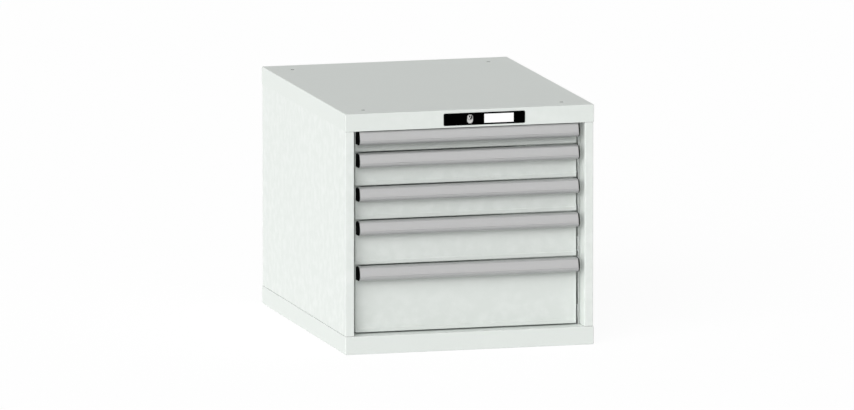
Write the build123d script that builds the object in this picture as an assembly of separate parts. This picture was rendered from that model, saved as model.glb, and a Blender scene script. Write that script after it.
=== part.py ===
from build123d import *
import math
import os

os.makedirs("parts", exist_ok=True)

# Millimetres. X runs to the right, the front faces -Y and Z is up.
# The origin is the middle of the base's underside.

# Casing, with its height made up of base, drawer fronts and header
width = 564.0
depth = 725.0
base_height = 40.5
header_height = 39.0
bottom_gap = 3.5
front_pitches = [50.0, 75.0, 75.0, 100.0, 150.0]
top_z = base_height + bottom_gap + sum(front_pitches) + header_height

# Sheet thicknesses of the casing
cover_sheet = 1.25
wall_sheet = 1.2
floor_sheet = 1.25
back_sheet = 1.0
post_sheet = 1.5
cover_corner = 1.5

# Folded front and rear edges of the side walls
post_face = 18.0
post_depth = 41.0
rear_flange = 18.0

# Header and base folds
lintel_depth = 30.0
base_flange = 30.0
base_corner = 75.0

# Fixing holes in the top, repeated in the base for stacking
fixing_hole = 9.0
fixing_inset_x = 57.0
fixing_inset_y = 57.5
fixing_shift_x = -2.8
fixing_shift_y = -5.5

# Slotted uprights that carry the runners
upright_reach = 5.7
upright_depth = 40.0
slot_pitch = 25.0
slot_height = 12.0
slot_width = 3.2
hook_play = 0.2
hook_length = 3.0

# Back panel screws
screw_count = 4
screw_radius = 2.0
screw_head_radius = 4.0
screw_play = 0.05
screw_head_height = 2.45
screw_tip = 4.0
screw_end_margin = 60.0

# Drawer boxes, each as wide as the room that the runners leave, and opening to their full depth
runner_room = 26.55
box_depth_allowance = 113.0
box_sheet = 1.0
box_floor_gap = 6.0
box_top_gap = 8.0

# Drawer fronts, set back from the casing's front
front_side_gap = 12.35
front_setback = 30.6
front_sheet = 1.2
front_top_gap = 4.0
front_return = 10.0
hem_height = 9.0
hem_step = 0.8

# Grip rail across each drawer front, as heights below the front's top boundary
grip_depth = 29.9
grip_height = 32.0
grip_heel_drop = 4.5
grip_ridge_depth = 10.0
grip_ridge_drop = 1.2
grip_brow_depth = 24.0
grip_brow_drop = 2.6
grip_nose_drop = 24.0
grip_lip_depth = 22.0
grip_wall = 2.6
brow_bow = 0.72
lip_bow = 0.32
lip_foot = 1.8
cap_thickness = 2.3
strip_cover = 0.8
strip_card = 0.3
strip_top = 4.0
strip_bottom = 23.5
strip_end_margin = 0.7

# Runners: fixed rail on the casing, rail on the drawer, roller carriage between
rail_height = 32.0
rail_sheet = 1.5
rail_lift = 24.0
drawer_rail_lip = 9.0
casing_rail_lip = 10.5
carriage_gap = 0.75
carriage_bar = 2.5
carriage_bar_height = 26.0
carriage_shortening = 4.0
carriage_setback = 2.0
roller_play = 0.3
roller_width = 8.0
roller_bore_play = 0.05
axle_radius = 3.0
axle_head = 0.6
roller_end_margin = 22.0
roller_rail_margin = 4.0

# Lock plate and name card on the header
plate_width = 184.5
plate_height = 27.2
plate_thickness = 0.8
plate_centre_x = 32.75
plate_centre_drop = 20.9
plate_corner = 3.0
plate_peg_radius = 2.0
plate_peg_length = 4.0
plate_peg_play = 0.1
plate_peg_inset = 12.0
card_width = 67.0
card_height = 20.4
card_thickness = 0.4
card_centre_x = 65.8

# Lock cylinder, plug and tail shaft
lock_width = 14.3
lock_height = 21.0
lock_proud = 1.2
lock_length = 21.7
lock_play = 0.1
plug_radius = 5.2
plug_play = 0.05
plug_sink = 0.2
keyway_width = 1.6
keyway_height = 6.4
keyway_depth = 12.0
tail_side = 6.0
retainer_width = 30.0
retainer_height = 31.0
retainer_sheet = 2.0

# Cam, lock slide and lock bar
lock_stroke = 8.0
cam_radius = 9.0
cam_thickness = 3.0
pin_radius = 2.0
pin_play = 0.35
slide_thickness = 2.0
slide_height = 20.0
slide_gap = 1.0
slide_left = 14.0
slide_end_margin = 3.0
slide_bar_gap = 5.0
guide_sheet = 1.5
guide_width = 12.0
guide_play = 0.3
guide_places = [60.0, 200.0]
bar_thickness = 4.0
bar_width = 12.0
bar_offset = 10.0
bar_post_gap = 0.75
bar_foot = 20.0
bar_head = 5.0
finger_height = 5.0
finger_width = 8.0
finger_play = 0.5
finger_setback = 1.0
finger_catch_gap = 1.0
catch_height = 6.5
catch_thickness = 1.5
catch_play = 4.0
staple_height = 10.0
staple_drops = [46.0, 214.0, 354.0]

# How far a cut runs past the sheet that it goes through
overcut = 1.0

# Planes that several pieces share
cover_x = width / 2 - cover_sheet
cover_y = depth / 2 - cover_sheet
cover_z = top_z - cover_sheet
wall_x = cover_x - wall_sheet
post_x = cover_x - post_face
post_rear_y = -cover_y + post_depth
upright_x = post_x - upright_reach
header_z = top_z - header_height
front_y = -depth / 2 + front_setback
box_front_y = front_y + front_sheet
box_inside_depth = depth - box_depth_allowance
box_rear_y = box_front_y + box_inside_depth + 2 * box_sheet
box_x = upright_x - runner_room
front_half = post_x - front_side_gap
drawer_travel = box_inside_depth
rail_front_y = post_rear_y
rail_rear_y = -post_rear_y


def block(x0, x1, y0, y1, z0, z1):
    """A plain block between six planes."""
    centre = Pos((x0 + x1) / 2, (y0 + y1) / 2, (z0 + z1) / 2)
    return centre * Box(abs(x1 - x0), abs(y1 - y0), abs(z1 - z0))


def rod_x(x0, x1, y, z, radius):
    """A round rod along X."""
    return Pos((x0 + x1) / 2, y, z) * Rot(0, 90, 0) * Cylinder(radius, abs(x1 - x0))


def rod_y(x, y0, y1, z, radius):
    """A round rod along Y."""
    return Pos(x, (y0 + y1) / 2, z) * Rot(90, 0, 0) * Cylinder(radius, abs(y1 - y0))


def rod_z(x, y, z0, z1, radius):
    """A round rod along Z."""
    return Pos(x, y, (z0 + z1) / 2) * Cylinder(radius, abs(z1 - z0))


def front_prism(section, y0, y1):
    """A section drawn in X and Z, stretched from y0 to y1."""
    flat = Plane(origin=(0, y1, 0), x_dir=(1, 0, 0), z_dir=(0, -1, 0))
    return extrude(flat * section, amount=y1 - y0)


def side_prism(section, x0, x1):
    """A section drawn in Y and Z, stretched from x0 to x1."""
    return extrude(Plane.YZ.offset(x0) * section, amount=x1 - x0)


def other_side(shape):
    """The same piece on the cabinet's left."""
    return mirror(shape, about=Plane.YZ)


def save(name, *pieces):
    """Writes one sub-part as its own file."""
    solids = [solid for piece in pieces for solid in piece.solids()]
    whole = solids[0] if len(solids) == 1 else Compound(children=solids)
    export_step(whole, os.path.join("parts", name + ".step"))


def fixing_places():
    """Centres of the four fixing holes."""
    places = []
    for side in (-1, 1):
        for end in (-1, 1):
            x = fixing_shift_x + side * (width / 2 - fixing_inset_x)
            y = fixing_shift_y + end * (depth / 2 - fixing_inset_y)
            places.append((x, y))
    return places


def drawer_zones():
    """Bottom height and pitch of each drawer, from the top one down."""
    zones = []
    bottom = header_z
    for pitch in front_pitches:
        bottom -= pitch
        zones.append((bottom, pitch))
    return zones


# Casing


def lock_section(play):
    """Outline of the lock cylinder: a slot shape standing on end."""
    return Rot(0, 0, 90) * SlotOverall(lock_height + 2 * play, lock_width + 2 * play)


plate_centre_z = top_z - plate_centre_drop
plug_z = plate_centre_z + (lock_height - lock_width) / 2
peg_places = [
    plate_centre_x - plate_width / 2 + plate_peg_inset,
    plate_centre_x + plate_width / 2 - plate_peg_inset,
]


def make_top_cover():
    """Top sheet with a deep band folded down all round and a lintel fold at the front."""
    outer = block(-width / 2, width / 2, -depth / 2, depth / 2, header_z, top_z)
    rounded = outer.edges().filter_by(Axis.Z) + outer.edges().group_by(Axis.Z)[-1]
    cover = fillet(rounded, cover_corner)
    cover -= block(-cover_x, cover_x, -cover_y, cover_y, header_z, cover_z)
    lintel_rear = -cover_y + lintel_depth
    cover += block(-post_x, post_x, -cover_y, lintel_rear, header_z, header_z + cover_sheet)
    for x, y in fixing_places():
        cover -= rod_z(x, y, cover_z - overcut, top_z + overcut, fixing_hole / 2)
    for x in peg_places:
        radius = plate_peg_radius + plate_peg_play
        cover -= rod_y(x, -depth / 2 - overcut, -cover_y + overcut, plate_centre_z, radius)
    hole = Pos(0, plate_centre_z) * lock_section(lock_play)
    cover -= front_prism(hole, -depth / 2 - overcut, -cover_y + overcut)
    return cover


def make_base_plinth():
    """Band round the foot, with a fold inward above and below and a plate in each corner."""
    plinth = block(-width / 2, width / 2, -depth / 2, depth / 2, 0, base_height)
    plinth = fillet(plinth.edges().filter_by(Axis.Z), cover_corner)
    inner_x = width / 2 - base_flange
    inner_y = depth / 2 - base_flange
    plinth -= block(-cover_x, cover_x, -cover_y, cover_y, cover_sheet, base_height)
    plinth -= block(-inner_x, inner_x, -inner_y, inner_y, 0, cover_sheet)
    sill_z = base_height - floor_sheet
    plinth += block(-post_x, post_x, -cover_y, post_rear_y, sill_z, base_height)
    for side in (-1, 1):
        for end in (-1, 1):
            x0 = side * cover_x
            x1 = side * (width / 2 - base_corner)
            y0 = end * cover_y
            y1 = end * (depth / 2 - base_corner)
            plinth += block(x0, x1, y0, y1, 0, cover_sheet)
    for x, y in fixing_places():
        plinth -= rod_z(x, y, -overcut, cover_sheet + overcut, fixing_hole / 2)
    return plinth


def make_floor_plate():
    """Flat floor of the casing, behind the base's front fold."""
    z0 = base_height - floor_sheet
    return block(-wall_x, wall_x, post_rear_y, cover_y - wall_sheet - back_sheet, z0, base_height)


screw_x = cover_x - rear_flange / 2
screw_start = base_height + screw_end_margin
screw_step = (header_z - base_height - 2 * screw_end_margin) / (screw_count - 1)
screw_heights = [screw_start + screw_step * n for n in range(screw_count)]


def make_side_wall():
    """Right side wall, folded round the front into the post and round the back."""
    z0 = cover_sheet
    z1 = cover_z
    wall = block(wall_x, cover_x, -cover_y, cover_y, z0, z1)
    wall += block(post_x, cover_x, -cover_y, -cover_y + wall_sheet, z0, z1)
    wall += block(post_x, post_x + wall_sheet, -cover_y, post_rear_y, base_height, z1)
    wall += block(cover_x - rear_flange, cover_x, cover_y - wall_sheet, cover_y, z0, z1)
    hole = screw_radius + screw_play
    for z in screw_heights:
        wall -= rod_y(screw_x, cover_y - wall_sheet - overcut, cover_y + overcut, z, hole)
    return wall


def make_back_panel():
    """Plain back sheet, screwed to the side walls' rear folds."""
    y1 = cover_y - wall_sheet
    panel = block(-wall_x, wall_x, y1 - back_sheet, y1, base_height, cover_z)
    hole = screw_radius + screw_play
    for z in screw_heights:
        for x in (-screw_x, screw_x):
            panel -= rod_y(x, y1 - back_sheet - overcut, y1 + overcut, z, hole)
    return panel


def make_back_screws():
    """Pan-head screws that hold the back panel."""
    head_rear = cover_y + screw_head_height
    tip = cover_y - wall_sheet - back_sheet - screw_tip
    screws = []
    for z in screw_heights:
        for x in (-screw_x, screw_x):
            screw = rod_y(x, cover_y, head_rear, z, screw_head_radius)
            screws.append(screw + rod_y(x, tip, cover_y, z, screw_radius))
    return screws


def slot_heights():
    """Heights of the slots in an upright: a regular row that starts at each runner."""
    heights = []
    for bottom, pitch in drawer_zones():
        for n in range(int(pitch / slot_pitch)):
            z = bottom + rail_lift + n * slot_pitch
            if z + slot_height < header_z:
                heights.append(z)
    return heights


slot_centre_y = post_rear_y + upright_depth / 2


def make_upright():
    """Right front upright: a channel with a row of slots for the runners' hooks."""
    y0 = post_rear_y
    y1 = post_rear_y + upright_depth
    upright = block(upright_x, wall_x, y0, y1, base_height, header_z)
    inner_x = upright_x + post_sheet
    upright -= block(inner_x, wall_x, y0 + post_sheet, y1 - post_sheet, base_height, header_z)
    half = slot_height / 2
    slots = []
    for z in slot_heights():
        y2 = slot_centre_y - slot_width / 2
        y3 = slot_centre_y + slot_width / 2
        slots.append(block(upright_x - overcut, inner_x + overcut, y2, y3, z - half, z + half))
    return upright - slots


# Runners, drawn on the right with the rail's middle height at zero


def make_casing_rail():
    """Fixed rail: a channel open to the drawer, with a hook at each upright."""
    half = rail_height / 2
    x0 = upright_x - rail_sheet
    rail = block(x0 - casing_rail_lip, upright_x, rail_front_y, rail_rear_y, -half, half)
    inner = half - rail_sheet
    rail -= block(x0 - casing_rail_lip, x0, rail_front_y, rail_rear_y, -inner, inner)
    hook_half = slot_width / 2 - hook_play
    hook_top = slot_height / 2 - hook_play
    hook_x = upright_x + post_sheet + hook_length
    for y in (slot_centre_y, -slot_centre_y):
        hook = block(upright_x, hook_x, y - hook_half, y + hook_half, -hook_top, hook_top)
        rail += hook
    return rail


def make_drawer_rail():
    """Rail on the drawer's side: a channel open to the casing."""
    half = rail_height / 2
    inner = half - rail_sheet
    x1 = box_x + rail_sheet
    rail = block(box_x, x1 + drawer_rail_lip, box_front_y, box_rear_y, -half, half)
    rail -= block(x1, x1 + drawer_rail_lip, box_front_y, box_rear_y, -inner, inner)
    return rail


bar_front_y = post_rear_y + upright_depth + bar_post_gap
bar_rear_y = bar_front_y + bar_width
finger_rear_y = bar_rear_y - finger_setback
finger_front_y = finger_rear_y - finger_width
catch_front_y = finger_rear_y + catch_play


def make_catch():
    """Tab welded on the right drawer rail, that the lock finger stops."""
    x1 = box_x + rail_sheet + drawer_rail_lip
    z0 = rail_height / 2
    y1 = catch_front_y + catch_thickness
    return block(x1 - drawer_rail_lip / 2, x1, catch_front_y, y1, z0, z0 + catch_height)


carriage_x0 = box_x + rail_sheet + drawer_rail_lip + carriage_gap
carriage_x1 = carriage_x0 + carriage_bar
carriage_front_y = rail_front_y + carriage_setback
carriage_rear_y = carriage_front_y + box_inside_depth - carriage_shortening
roller_radius = rail_height / 2 - rail_sheet - roller_play
inner_roller_ys = [
    carriage_front_y + roller_end_margin,
    box_rear_y - drawer_travel / 2 - roller_radius - roller_rail_margin,
]
outer_roller_ys = [
    rail_front_y + drawer_travel / 2 + roller_radius + roller_rail_margin,
    carriage_rear_y - roller_end_margin,
]
inner_roller_x = carriage_x0 - carriage_gap - roller_width
outer_roller_x = carriage_x1 + carriage_gap


def make_carriage():
    """Bar between the rails, with a riveted axle for each roller."""
    half = carriage_bar_height / 2
    bar = block(carriage_x0, carriage_x1, carriage_front_y, carriage_rear_y, -half, half)
    axles = []
    for y in inner_roller_ys:
        bar -= rod_x(carriage_x0 - overcut, carriage_x1 + overcut, y, 0, axle_radius)
        axles.append(rod_x(inner_roller_x - axle_head, carriage_x1, y, 0, axle_radius))
    for y in outer_roller_ys:
        bar -= rod_x(carriage_x0 - overcut, carriage_x1 + overcut, y, 0, axle_radius)
        outer_end = outer_roller_x + roller_width + axle_head
        axles.append(rod_x(carriage_x0, outer_end, y, 0, axle_radius))
    return [bar] + axles


def make_rollers():
    """Four rollers of one carriage: two run in each rail."""
    bore = axle_radius + roller_bore_play
    rollers = []
    for x, places in ((inner_roller_x, inner_roller_ys), (outer_roller_x, outer_roller_ys)):
        for y in places:
            roller = rod_x(x, x + roller_width, y, 0, roller_radius)
            rollers.append(roller - rod_x(x - overcut, x + roller_width + overcut, y, 0, bore))
    return rollers


# Drawers, drawn with the bottom of the drawer's zone at zero


def make_drawer_box(pitch):
    """Open-topped tray of thin sheet."""
    z0 = box_floor_gap
    z1 = pitch - box_top_gap
    tray = block(-box_x, box_x, box_front_y, box_rear_y, z0, z1)
    inner_x = box_x - box_sheet
    y0 = box_front_y + box_sheet
    y1 = box_rear_y - box_sheet
    return tray - block(-inner_x, inner_x, y0, y1, z0 + box_sheet, z1)


def make_drawer_front(pitch):
    """Front sheet with a stepped hem along its foot and folds behind all four edges."""
    top = pitch - front_top_gap
    back = front_y + front_return
    step_top = hem_height + hem_step
    points = [
        (front_y, top),
        (front_y, step_top),
        (front_y - hem_step, hem_height),
        (front_y - hem_step, 0),
        (back, 0),
        (back, front_sheet),
        (front_y - hem_step + front_sheet, front_sheet),
        (front_y - hem_step + front_sheet, hem_height),
        (front_y + front_sheet, step_top),
        (front_y + front_sheet, top - front_sheet),
        (back, top - front_sheet),
        (back, top),
    ]
    half = front_half
    section = make_face(Polyline(*points, close=True))
    front = side_prism(section, -half, half)
    end_points = points[:5] + points[11:]
    end = make_face(Polyline(*end_points, close=True))
    front += side_prism(end, -half, -half + front_sheet)
    front += side_prism(end, half - front_sheet, half)
    return front


def grip_section(inset=0.0):
    """Outline of the grip rail in Y and Z below the front's top boundary, or one inside it."""
    heel_y = front_y - inset
    brow_y = front_y - grip_brow_depth + inset
    nose_y = front_y - grip_depth + inset
    lip_y = front_y - grip_lip_depth + inset
    ridge_y = front_y - grip_ridge_depth
    heel_z = -grip_heel_drop - inset
    ridge_z = -grip_ridge_drop - inset
    brow_z = -grip_brow_drop - inset
    nose_z = -grip_nose_drop
    lip_z = -grip_height + inset
    brow_mid = (brow_y + brow_bow * (nose_y - brow_y), (brow_z + nose_z) / 2)
    lip_mid = (nose_y + lip_bow * (lip_y - nose_y), (nose_z + lip_z) / 2)
    outline = Line((heel_y, heel_z), (ridge_y, ridge_z))
    outline += Line((ridge_y, ridge_z), (brow_y, brow_z))
    outline += ThreePointArc((brow_y, brow_z), brow_mid, (nose_y, nose_z))
    outline += ThreePointArc((nose_y, nose_z), lip_mid, (lip_y, lip_z))
    outline += Line((lip_y, lip_z), (heel_y, lip_z)) + Line((heel_y, lip_z), (heel_y, heel_z))
    return make_face(outline)


grip_half = front_half - cap_thickness


def strip_window():
    """Region of the grip's front face that the label strip takes."""
    y0 = front_y - grip_depth - overcut
    y1 = front_y - grip_brow_depth / 2
    centre = Pos((y0 + y1) / 2, -(strip_top + strip_bottom) / 2)
    return centre * Rectangle(y1 - y0, strip_bottom - strip_top)


def make_grip():
    """Aluminium grip rail, open below for the fingers, with a seat for the label strip."""
    outline = grip_section()
    hollow = grip_section(grip_wall)
    mouth_front = front_y - grip_lip_depth + lip_foot
    mouth_back = front_y - grip_wall
    mouth_centre = Pos((mouth_front + mouth_back) / 2, -grip_height)
    mouth = mouth_centre * Rectangle(mouth_back - mouth_front, 2 * (grip_wall + overcut))
    seat = (outline - grip_section(strip_cover + strip_card)) & strip_window()
    seat_half = grip_half - strip_end_margin
    grip = side_prism(outline - hollow - mouth, -grip_half, grip_half)
    return grip - side_prism(seat, -seat_half, seat_half)


def make_label_strip():
    """Clear cover and the paper strip behind it, two pieces in one seat."""
    outline = grip_section()
    under_cover = grip_section(strip_cover)
    under_card = grip_section(strip_cover + strip_card)
    seat_half = grip_half - strip_end_margin
    cover = side_prism((outline - under_cover) & strip_window(), -seat_half, seat_half)
    card = side_prism((under_cover - under_card) & strip_window(), -seat_half, seat_half)
    return [cover, card]


def make_end_caps():
    """Plastic caps that close both ends of the grip rail."""
    cap = side_prism(grip_section(), grip_half, grip_half + cap_thickness)
    return [other_side(cap), cap]


# Lock


def make_lock_plate():
    """Rounded plate over the header, with a shallow seat for the name card and two pegs."""
    y0 = -depth / 2 - plate_thickness
    y1 = -depth / 2
    centre = Pos(plate_centre_x, plate_centre_z)
    outline = centre * RectangleRounded(plate_width, plate_height, plate_corner)
    hole = Pos(0, plate_centre_z) * lock_section(lock_play)
    plate = front_prism(outline - hole, y0, y1)
    plate -= make_name_card()
    for x in peg_places:
        plate += rod_y(x, y1, y1 + plate_peg_length, plate_centre_z, plate_peg_radius)
    return plate


def make_name_card():
    """Blank card in the lock plate."""
    y0 = -depth / 2 - plate_thickness
    outline = Pos(card_centre_x, plate_centre_z) * Rectangle(card_width, card_height)
    return front_prism(outline, y0, y0 + card_thickness)


lock_front_y = -depth / 2 - lock_proud
lock_rear_y = lock_front_y + lock_length


def make_lock_cylinder():
    """Lock body through the plate and header, bored for the plug."""
    body = front_prism(Pos(0, plate_centre_z) * lock_section(0), lock_front_y, lock_rear_y)
    bore = plug_radius + plug_play
    return body - rod_y(0, lock_front_y - overcut, lock_rear_y + overcut, plug_z, bore)


def make_lock_retainer():
    """Plate behind the header that holds the lock body."""
    centre = Pos(0, plate_centre_z)
    section = centre * Rectangle(retainer_width, retainer_height) - centre * lock_section(0)
    return front_prism(section, -cover_y, -cover_y + retainer_sheet)


slide_y0 = bar_front_y - slide_bar_gap - slide_thickness
slide_y1 = slide_y0 + slide_thickness
cam_rear_y = slide_y0 - slide_gap
cam_front_y = cam_rear_y - cam_thickness
cam_pin_x = lock_stroke / 2
cam_pin_z = plug_z - lock_stroke / 2
cam_throw = cam_pin_x * math.sqrt(2)
bar_x0 = upright_x + bar_offset
bar_x1 = bar_x0 + bar_thickness
bar_x = (bar_x0 + bar_x1) / 2
slide_z = cam_pin_z


def make_lock_plug():
    """Plug with its keyway, and the square tail shaft that carries the cam."""
    front = lock_front_y + plug_sink
    plug = rod_y(0, front, lock_rear_y, plug_z, plug_radius)
    half = keyway_width / 2
    high = keyway_height / 2
    plug -= block(-half, half, front, front + keyway_depth, plug_z - high, plug_z + high)
    side = tail_side / 2
    return plug + block(-side, side, lock_rear_y, cam_rear_y, plug_z - side, plug_z + side)


def make_lock_cam():
    """Round cam on the tail shaft, with its pin off centre."""
    side = tail_side / 2
    cam = rod_y(0, cam_front_y, cam_rear_y, plug_z, cam_radius)
    cam -= block(-side, side, cam_front_y, cam_rear_y, plug_z - side, plug_z + side)
    return cam + rod_y(cam_pin_x, cam_rear_y, slide_y1 + slide_gap, cam_pin_z, pin_radius)


def make_lock_slide():
    """Flat slide across the header: an upright slot for the cam pin, and a hole for the bar's rivet."""
    slot_radius = pin_radius + pin_play
    right = bar_x + pin_radius + slide_end_margin
    half = slide_height / 2
    slide = block(-slide_left, right, slide_y0, slide_y1, slide_z - half, slide_z + half)
    dip = cam_throw - lock_stroke / 2
    upright = Pos(cam_pin_x, slide_z - dip / 2) * Rot(0, 0, 90)
    cam_slot = upright * SlotCenterToCenter(dip, 2 * slot_radius)
    slide -= front_prism(cam_slot, slide_y0 - overcut, slide_y1 + overcut)
    return slide - rod_y(bar_x, slide_y0 - overcut, slide_y1 + overcut, slide_z, pin_radius)


def make_lock_bar():
    """Upright bar riveted to the slide, with a welded finger for each drawer."""
    foot_z = base_height + bar_foot
    bar = block(bar_x0, bar_x1, bar_front_y, bar_rear_y, foot_z, slide_z + bar_head)
    rivet = rod_y(bar_x, slide_y0 - slide_gap, bar_front_y, slide_z, pin_radius)
    tip_x = box_x + rail_sheet + drawer_rail_lip + finger_catch_gap
    fingers = []
    for bottom, _ in drawer_zones():
        z = bottom + rail_lift + rail_height / 2 + finger_play
        fingers.append(block(tip_x, bar_x0, finger_front_y, finger_rear_y, z, z + finger_height))
    return [bar, rivet] + fingers


def make_lock_guides():
    """Loops under the top that hold the slide, and staples on the upright that the bar moves in."""
    guides = []
    y0 = slide_y0 - guide_play
    y1 = slide_y1 + guide_play
    z0 = slide_z - slide_height / 2 - guide_play
    z1 = slide_z + slide_height / 2 + guide_play
    for x in guide_places:
        x1 = x + guide_width
        loop = block(x, x1, y0 - guide_sheet, y1 + guide_sheet, z0 - guide_sheet, cover_z)
        guides.append(loop - block(x, x1, y0, y1, z0, z1))
    post_y = post_rear_y + upright_depth
    rear_y = bar_rear_y + guide_play
    inner_x0 = bar_x0 - lock_stroke - guide_play
    inner_x1 = bar_x1 + guide_play
    outer_x0 = inner_x0 - guide_sheet
    outer_x1 = inner_x1 + guide_sheet
    for drop in staple_drops:
        z0 = header_z - drop
        z1 = z0 + staple_height
        staple = block(outer_x0, outer_x1, post_y, rear_y + guide_sheet, z0, z1)
        guides.append(staple - block(inner_x0, inner_x1, post_y, rear_y, z0, z1))
    return guides


# Write every piece

save("top_cover", make_top_cover())
save("base_plinth", make_base_plinth())
save("floor_plate", make_floor_plate())
right_wall = make_side_wall()
save("right_side_wall", right_wall)
save("left_side_wall", other_side(right_wall))
save("back_panel", make_back_panel())
save("back_panel_screws", *make_back_screws())
front_upright = make_upright()
rear_upright = mirror(front_upright, about=Plane.XZ)
save("right_uprights", front_upright, rear_upright)
save("left_uprights", other_side(front_upright), other_side(rear_upright))

casing_rail = make_casing_rail()
drawer_rail = make_drawer_rail()
carriage = Compound(children=[s for piece in make_carriage() for s in piece.solids()])
rollers = Compound(children=[s for piece in make_rollers() for s in piece.solids()])
right_rails = []
for number, (zone_bottom, zone_pitch) in enumerate(drawer_zones(), start=1):
    name = "drawer_" + str(number)
    zone = Pos(0, 0, zone_bottom)
    boundary = Pos(0, 0, zone_bottom + zone_pitch)
    runner = Pos(0, 0, zone_bottom + rail_lift)
    right_rails.append(runner * casing_rail)
    save(name + "_box", zone * make_drawer_box(zone_pitch))
    save(name + "_front", zone * make_drawer_front(zone_pitch))
    save(name + "_grip", boundary * make_grip())
    save(name + "_label_strip", *[boundary * piece for piece in make_label_strip()])
    save(name + "_end_caps", *[boundary * piece for piece in make_end_caps()])
    save(name + "_rails", runner * drawer_rail, runner * make_catch(), runner * other_side(drawer_rail))
    save(name + "_carriages", runner * carriage, runner * other_side(carriage))
    save(name + "_rollers", runner * rollers, runner * other_side(rollers))
save("right_casing_rails", *right_rails)
save("left_casing_rails", *[other_side(rail) for rail in right_rails])

save("lock_plate", make_lock_plate())
save("name_card", make_name_card())
save("lock_cylinder", make_lock_cylinder())
save("lock_retainer", make_lock_retainer())
save("lock_plug", make_lock_plug())
save("lock_cam", make_lock_cam())
save("lock_slide", make_lock_slide())
save("lock_bar", *make_lock_bar())
save("lock_guides", *make_lock_guides())
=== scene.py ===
import cmath
import math
from collections import namedtuple

import bmesh
import bpy
from mathutils import Matrix, Vector


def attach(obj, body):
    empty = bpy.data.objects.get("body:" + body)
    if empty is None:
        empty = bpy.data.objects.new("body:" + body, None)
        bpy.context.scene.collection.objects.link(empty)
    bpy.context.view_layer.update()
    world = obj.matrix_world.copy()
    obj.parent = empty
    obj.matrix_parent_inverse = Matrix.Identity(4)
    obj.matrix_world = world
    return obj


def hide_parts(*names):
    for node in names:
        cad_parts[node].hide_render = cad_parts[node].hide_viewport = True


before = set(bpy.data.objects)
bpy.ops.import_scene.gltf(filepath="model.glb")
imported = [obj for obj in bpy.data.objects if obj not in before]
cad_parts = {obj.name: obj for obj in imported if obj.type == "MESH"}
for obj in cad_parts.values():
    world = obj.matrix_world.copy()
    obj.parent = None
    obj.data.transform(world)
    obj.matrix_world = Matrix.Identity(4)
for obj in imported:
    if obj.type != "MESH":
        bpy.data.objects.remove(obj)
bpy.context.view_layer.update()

# Sizes in millimetres, in the CAD frame: X right, front towards -Y, Z up

MM = 0.001

width = 564.0
depth = 725.0
base_height = 40.5
header_z = 494.0
top_z = 533.0
cover_sheet = 1.25
wall_sheet = 1.2
runner_sheet = 1.5
panel_sheet = 1.0
cover_x = width / 2 - cover_sheet
cover_y = depth / 2 - cover_sheet
cover_z = top_z - cover_sheet
wall_x = cover_x - wall_sheet
post_x = 261.6
post_rear_y = -320.25
upright_x = 257.05
upright_depth = 40.0
fixing_radius = 4.5
fixing_places = [(-227.8, -310.5), (-227.8, 299.5), (222.2, -310.5), (222.2, 299.5)]

front_half = 250.4
front_y = -331.9
box_x = 230.5
box_front_y = -330.7
box_rear_y = 283.3

Drawer = namedtuple("Drawer", "name carriage bottom top rail_z")
rail_lift = 24.0
drawers = []
drawer_top = header_z
for number, pitch in enumerate([50.0, 75.0, 75.0, 100.0, 150.0], start=1):
    drawer_bottom = drawer_top - pitch
    names = ("drawer_" + str(number), "carriage_" + str(number))
    drawers.append(Drawer(*names, drawer_bottom, drawer_top, drawer_bottom + rail_lift))
    drawer_top = drawer_bottom

grip_half = 248.1
grip_drop = 32.0
grip_wall = 2.6
seat_depth = 1.1

plate_x = 32.75
plate_z = 512.1
plate_front_y = -depth / 2 - 0.8
card_x = 65.8
peg_places = [-47.5, 113.0]
peg_radius = 2.0
lock_front_y = -363.7
lock_rear_y = lock_front_y + 21.7
plug_z = 515.45
cam_front, cam_rear = -290.5, -287.5
slide_front, slide_rear = -286.5, -284.5
slide_z = plug_z - 4.0
bar_x = 269.05

# Extra points this far from a bend keep the shading of the flat faces beside it even
guard = 1.5


# Node trees


def operator(operation, reflected=False):
    """A method that adds a Math node, with its two sides swapped for the reflected form."""
    def run(self, other):
        first, second = (other, self) if reflected else (self, other)
        return self.wiring.node("ShaderNodeMath", {"operation": operation}, {0: first, 1: second})
    return run


class Signal:
    """One output of a node, so that maths on it is written as an expression."""

    def __init__(self, wiring, socket):
        self.wiring = wiring
        self.socket = socket

    __add__, __radd__ = operator("ADD"), operator("ADD", True)
    __sub__, __rsub__ = operator("SUBTRACT"), operator("SUBTRACT", True)
    __mul__, __rmul__ = operator("MULTIPLY"), operator("MULTIPLY", True)


class Wiring:
    """A node tree being filled in."""

    def __init__(self, tree):
        self.tree = tree

    def node(self, kind, settings=None, sockets=None, output=0):
        """Adds one node: its settings first, then the value or link of each socket."""
        made = self.tree.nodes.new(kind)
        for name, value in (settings or {}).items():
            if name == "stops":
                self._set_stops(made.color_ramp, value)
            else:
                setattr(made, name, value)
        for name, value in (sockets or {}).items():
            socket = made.inputs[name]
            for item in value if isinstance(value, list) else [value]:
                if isinstance(item, Signal):
                    self.tree.links.new(item.socket, socket)
                else:
                    socket.default_value = item
        return Signal(self, made.outputs[output]) if made.outputs else made

    @staticmethod
    def _set_stops(ramp, stops):
        while len(ramp.elements) < len(stops):
            ramp.elements.new(1.0)
        for element, (position, level) in zip(ramp.elements, stops):
            element.position = position
            element.color = (level, level, level, 1.0)


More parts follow.
